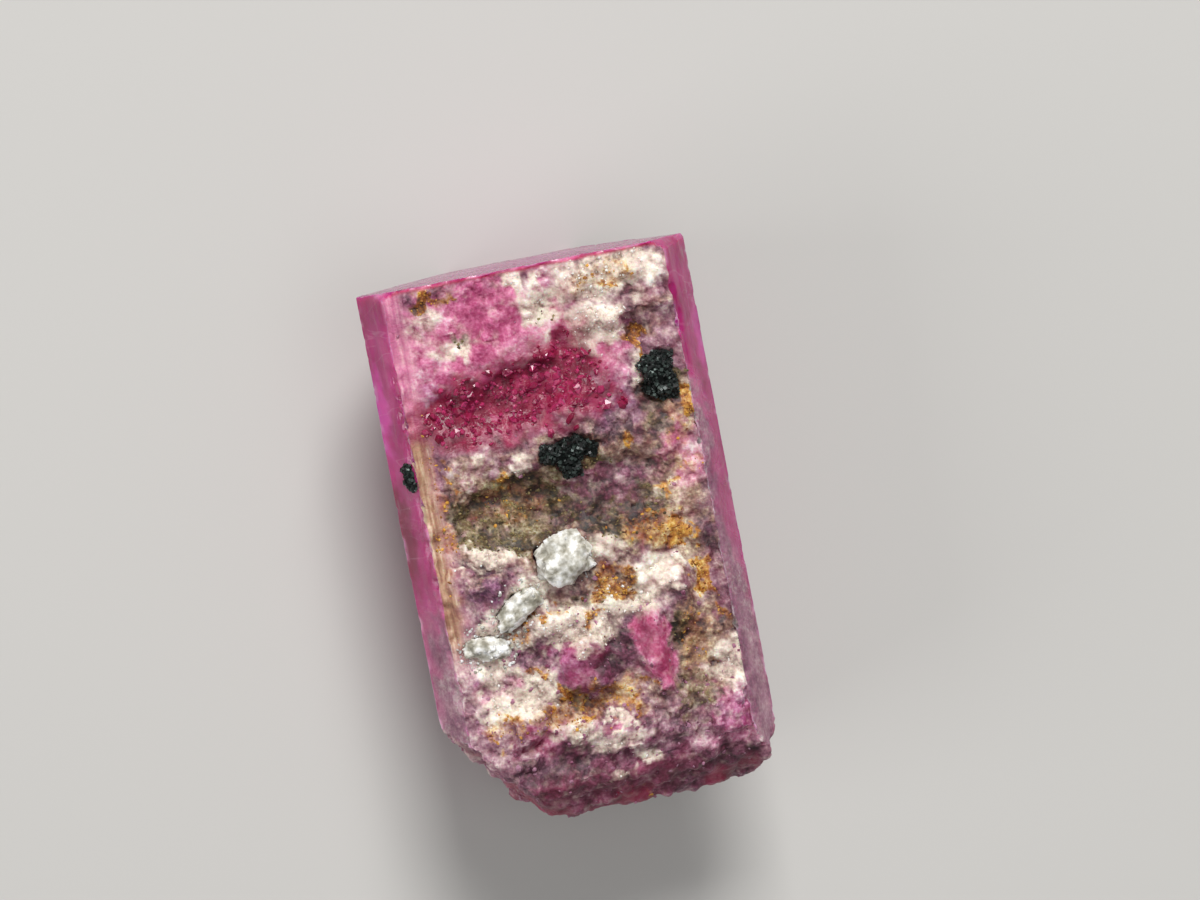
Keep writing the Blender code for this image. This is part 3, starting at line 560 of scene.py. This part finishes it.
bump_share = node(beryl, "ShaderNodeMapRange", {"To Min": 0.05, "To Max": 0.6}, {"Value": read["crust"]}).outputs[0]
bump = node(beryl, "ShaderNodeBump", {"Distance": 0.03 * MM}, {"Height": fine, "Strength": bump_share})
smooth_side = node(beryl, "ShaderNodeMath", {"operation": "MAXIMUM"}, {0: read["crust"], 1: read["top"]}).outputs[0]
striae_share = node(beryl, "ShaderNodeMapRange", {"To Min": 0.25, "To Max": 0.0}, {"Value": smooth_side}).outputs[0]
bump = node(beryl, "ShaderNodeBump", {"Distance": 0.02 * MM},
            {"Height": streaks, "Strength": striae_share, "Normal": bump.outputs["Normal"]})
links.new(bump.outputs["Normal"], shader.inputs["Normal"])
absorption = node(beryl, "ShaderNodeVolumeAbsorption", {"Color": (0.95, 0.05, 0.62, 1.0), "Density": 420.0})
links.new(absorption.outputs["Volume"], beryl.node_tree.nodes["Material Output"].inputs["Volume"])
crystal.data.materials.append(beryl)
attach(crystal, "root")
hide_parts("red_beryl_crystal")

# Grains on the crust
# Crumbs of the rock, small beryls and rusty iron oxide grew into the rough front and the broken end. Each kind is
# one piece: a few angular chips, copied many times, each copy sunk in the crystal at its own size and turn.
LOWEST_GRAIN = 0.1 * MM
first_corner = np.array([face.vertices[0] for face in crystal.data.polygons])
seated = np.nonzero(rough[first_corner] > 0.6)[0]
seat_points = np.array([crystal.data.polygons[i].center for i in seated])
seat_facing = np.array([crystal.data.polygons[i].normal for i in seated])
seat_area = np.array([crystal.data.polygons[i].area for i in seated]) * (seat_points[:, 2] > LOWEST_GRAIN)
seat_mask = {name: np.clip(values[first_corner[seated]], 0, 1) for name, values in {**masks, **surface}.items()}


def chip_shape(name, seed, squash):
    """One angular chip about 2 units across: a coarse sphere with its corners pushed in and out."""
    bpy.ops.object.select_all(action="DESELECT")
    bpy.ops.mesh.primitive_ico_sphere_add(subdivisions=1, radius=1)
    chip = bpy.context.object
    chip.name = name
    draw = random.Random(seed)
    for vert in chip.data.vertices:
        vert.co = Vector([vert.co[a] * squash[a] for a in range(3)]) * draw.uniform(0.75, 1.2)
    return chip


def scatter(name, shapes, seats, facings, sizes, seed, sink):
    """One piece made of copies of the shapes, one on each seat and sunk in it by a share of its size. Each copy has
    its own tint between 0 and 1."""
    draw = random.Random(seed)
    points, faces, tints = [], [], []
    for seat, way, size in zip(seats, facings, sizes):
        shape = draw.choice(shapes)
        turned = Euler([draw.uniform(0, math.tau) for _ in range(3)]).to_matrix()
        middle = Vector(seat) + Vector(way) * size * (0.5 - sink) * MM
        start = len(points)
        points += [middle + turned @ vert.co * (size * 0.5 * MM) for vert in shape.data.vertices]
        faces += [[start + corner for corner in face.vertices] for face in shape.data.polygons]
        tints += [draw.random()] * len(shape.data.vertices)
    mesh = bpy.data.meshes.new(name)
    mesh.from_pydata(points, [], faces)
    made = bpy.data.objects.new(name, mesh)
    bpy.context.scene.collection.objects.link(made)
    write_attribute(mesh, "tint", np.array(tints))
    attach(made, "root")
    return made


chips = [
    chip_shape("chip_round", 1, (1.0, 0.9, 0.8)),
    chip_shape("chip_long", 2, (1.5, 0.7, 0.6)),
    chip_shape("chip_flat", 3, (1.1, 1.0, 0.5)),
    chip_shape("chip_block", 4, (0.9, 1.1, 1.0)),
]
opaque = 1 - seat_mask["clear"]
broken_part = 1 - smooth(-4.5, 0.5, seat_points[:, 1] / MM)
# Each kind: count, where, smallest and largest size in mm, dark and light colour, roughness, transmission, IOR, slot.
GRAINS = {
    "white_grains": (500, seat_mask["white"] ** 3, 0.03, 0.09, ("#DCCFC4", "#FFFBF4"), 0.9, 0.0, 1.54, "white_rock"),
    "beryl_grains": (500, opaque * (0.05 + broken_part), 0.05, 0.15, ("#7A3454", "#B07C94"), 0.5, 0.2, 1.57,
                     "red_beryl"),
    "beryl_shards": (420, seat_mask["clear"] ** 4 * (seat_points[:, 1] > 0), 0.09, 0.26, ("#860A38", "#C43A70"),
                     0.25, 0.3, 1.57, "red_beryl"),
    "iron_oxide_grains": (700, seat_mask["iron"] ** 3, 0.04, 0.11, ("#6A2F08", "#DDA038"), 0.6, 0.0, 1.6,
                          "white_rock"),
    "clay_grains": (450, seat_mask["olive"] ** 3, 0.04, 0.11, ("#3A2E18", "#8C7C50"), 0.7, 0.0, 1.5, "white_rock"),
}
for number, (name, facts) in enumerate(GRAINS.items()):
    count, weight, small, large, colours, roughness, transmission, ior, slot = facts
    draw = np.random.RandomState(20 + number)
    picked = draw.choice(len(seated), count, p=weight * seat_area / (weight * seat_area).sum())
    sizes = small + (large - small) * draw.random_sample(count) ** 3
    grains = scatter(name, chips, seat_points[picked], seat_facing[picked], sizes, 30 + number, 0.65)
    made, shader = new_material(name.replace("_", " "))
    own_tint = node(made, "ShaderNodeAttribute", {"attribute_name": "tint"}).outputs["Fac"]
    made.node_tree.links.new(graded(made, own_tint, colours), shader.inputs["Base Color"])
    shader.inputs["Roughness"].default_value = roughness
    shader.inputs["Transmission Weight"].default_value = transmission
    shader.inputs["IOR"].default_value = ior
    shader.inputs["Subsurface Weight"].default_value = 0.5
    shader.inputs["Subsurface Radius"].default_value = (1.0, 0.8, 0.8)
    shader.inputs["Subsurface Scale"].default_value = 0.1 * MM
    grains.data.materials.append(made)

# Bixbyite clusters
# Bixbyite is a black manganese and iron oxide that grows in small sharp cubes with a dark metallic shine. Each
# cluster is a felt of tiny cubes over the larger ones.
bixbyite, shader = new_material("bixbyite cubes")
own_tint = node(bixbyite, "ShaderNodeAttribute", {"attribute_name": "tint"}).outputs["Fac"]
bixbyite.node_tree.links.new(graded(bixbyite, own_tint, ("#060908", "#141B19", "#3E4A45")),
                             shader.inputs["Base Color"])
shader.inputs["Metallic"].default_value = 0.4
shader.inputs["Roughness"].default_value = 0.4
bpy.ops.object.select_all(action="DESELECT")
bpy.ops.mesh.primitive_cube_add(size=1.3)
cube = bpy.context.object
CLUSTERS = {"bixbyite_cluster_right": 800, "bixbyite_cluster_middle": 800, "bixbyite_cluster_left": 300}
for number, (cluster, count) in enumerate(CLUSTERS.items()):
    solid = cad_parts[cluster]
    solid.material_slots[0].material = bixbyite
    draw = np.random.RandomState(40 + number)
    upper = [face for face in solid.data.polygons if face.normal.z > -0.2]
    share = np.array([face.area for face in upper])
    picked = draw.choice(len(upper), count, p=share / share.sum())
    seats = []
    for index in picked:
        ends = [solid.data.vertices[v].co for v in upper[index].vertices]
        pulls = draw.dirichlet([1] * len(ends))
        seats.append(sum((end * pull for end, pull in zip(ends, pulls)), Vector()))
    facings = [upper[index].normal for index in picked]
    sizes = 0.03 + 0.07 * draw.random_sample(count) ** 2
    felt = scatter(cluster + "_cubes", [cube], seats, facings, sizes, 50 + number, 0.4)
    felt.data.materials.append(bixbyite)
bpy.data.objects.remove(cube)

# Rock patches
# Three lumps of the white rhyolite that the crystal grew in, still held in hollows of its front.
rock, shader = new_material("white rhyolite")
rock_place = node(rock, "ShaderNodeTexCoord").outputs["Object"]
rock_mm = node(rock, "ShaderNodeVectorMath", {"operation": "SCALE", "Scale": MAP_SCALE}, {0: rock_place}).outputs[0]
blotches = node(rock, "ShaderNodeTexNoise", {"Scale": 1 / 0.20, "Detail": 4.0}, {"Vector": rock_mm}).outputs["Fac"]
blotches = node(rock, "ShaderNodeMapRange", {"From Min": 0.36, "From Max": 0.64}, {"Value": blotches}).outputs["Result"]
rock.node_tree.links.new(graded(rock, blotches, ("#8E8A7C", "#B4B0A4", "#D6D4CC", "#FAF9F6")),
                         shader.inputs["Base Color"])
shader.inputs["Roughness"].default_value = 0.95
shader.inputs["Specular IOR Level"].default_value = 0.25
shader.inputs["Subsurface Weight"].default_value = 0.8
shader.inputs["Subsurface Radius"].default_value = (1.0, 0.95, 0.9)
shader.inputs["Subsurface Scale"].default_value = 0.12 * MM
for number, place_name in enumerate(("middle", "left", "lower")):
    lump = bpy.data.objects.new("rock_lump_" + place_name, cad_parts["rock_patch_" + place_name].data.copy())
    bpy.context.scene.collection.objects.link(lump)
    bpy.ops.object.select_all(action="DESELECT")
    lump.select_set(True)
    bpy.context.view_layer.objects.active = lump
    bpy.ops.object.mode_set(mode="EDIT")
    bpy.ops.mesh.select_all(action="SELECT")
    bpy.ops.mesh.remove_doubles(threshold=WELD)
    bpy.ops.mesh.subdivide(number_cuts=3)
    bpy.ops.object.mode_set(mode="OBJECT")
    lump_places = coordinates(lump.data)
    block_own = pebbles(lump_places / MM, 0.35, 60 + number)[1]
    lump_lift = 0.06 * (block_own - 0.5) + 0.03 * grain(lump_places / MM, 0.45, 66 + number)
    lump_lift += 0.03 * grain(lump_places / MM, 0.12, 69 + number, 2)
    lump_places += normals(lump.data) * lump_lift[:, None] * MM
    lump.data.vertices.foreach_set("co", lump_places.ravel())
    lump.data.materials.clear()
    lump.data.materials.append(rock)
    lump.data.update()
    bpy.ops.object.shade_smooth_by_angle(angle=math.radians(35))
    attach(lump, "root")
    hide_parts("rock_patch_" + place_name)
    around = np.linalg.norm(seat_points - lump_places.mean(axis=0), axis=1) / MM
    beside = np.nonzero((around < 0.60) & (seat_facing[:, 2] > 0.2))[0]
    on_lump = [face for face in lump.data.polygons if face.normal.z > 0]
    draw = np.random.RandomState(70 + number)
    chosen = draw.choice(beside, 150)
    seats, facings = list(seat_points[chosen]), list(seat_facing[chosen])
    for index in draw.choice(len(on_lump), 40):
        seats.append(on_lump[index].center)
        facings.append(on_lump[index].normal)
    sizes = 0.03 + 0.09 * draw.random_sample(len(seats)) ** 2
    crumbs = scatter("rock_crumbs_" + place_name, chips, seats, facings, sizes, 80 + number, 0.65)
    crumbs.data.materials.append(rock)
for chip in chips:
    bpy.data.objects.remove(chip)
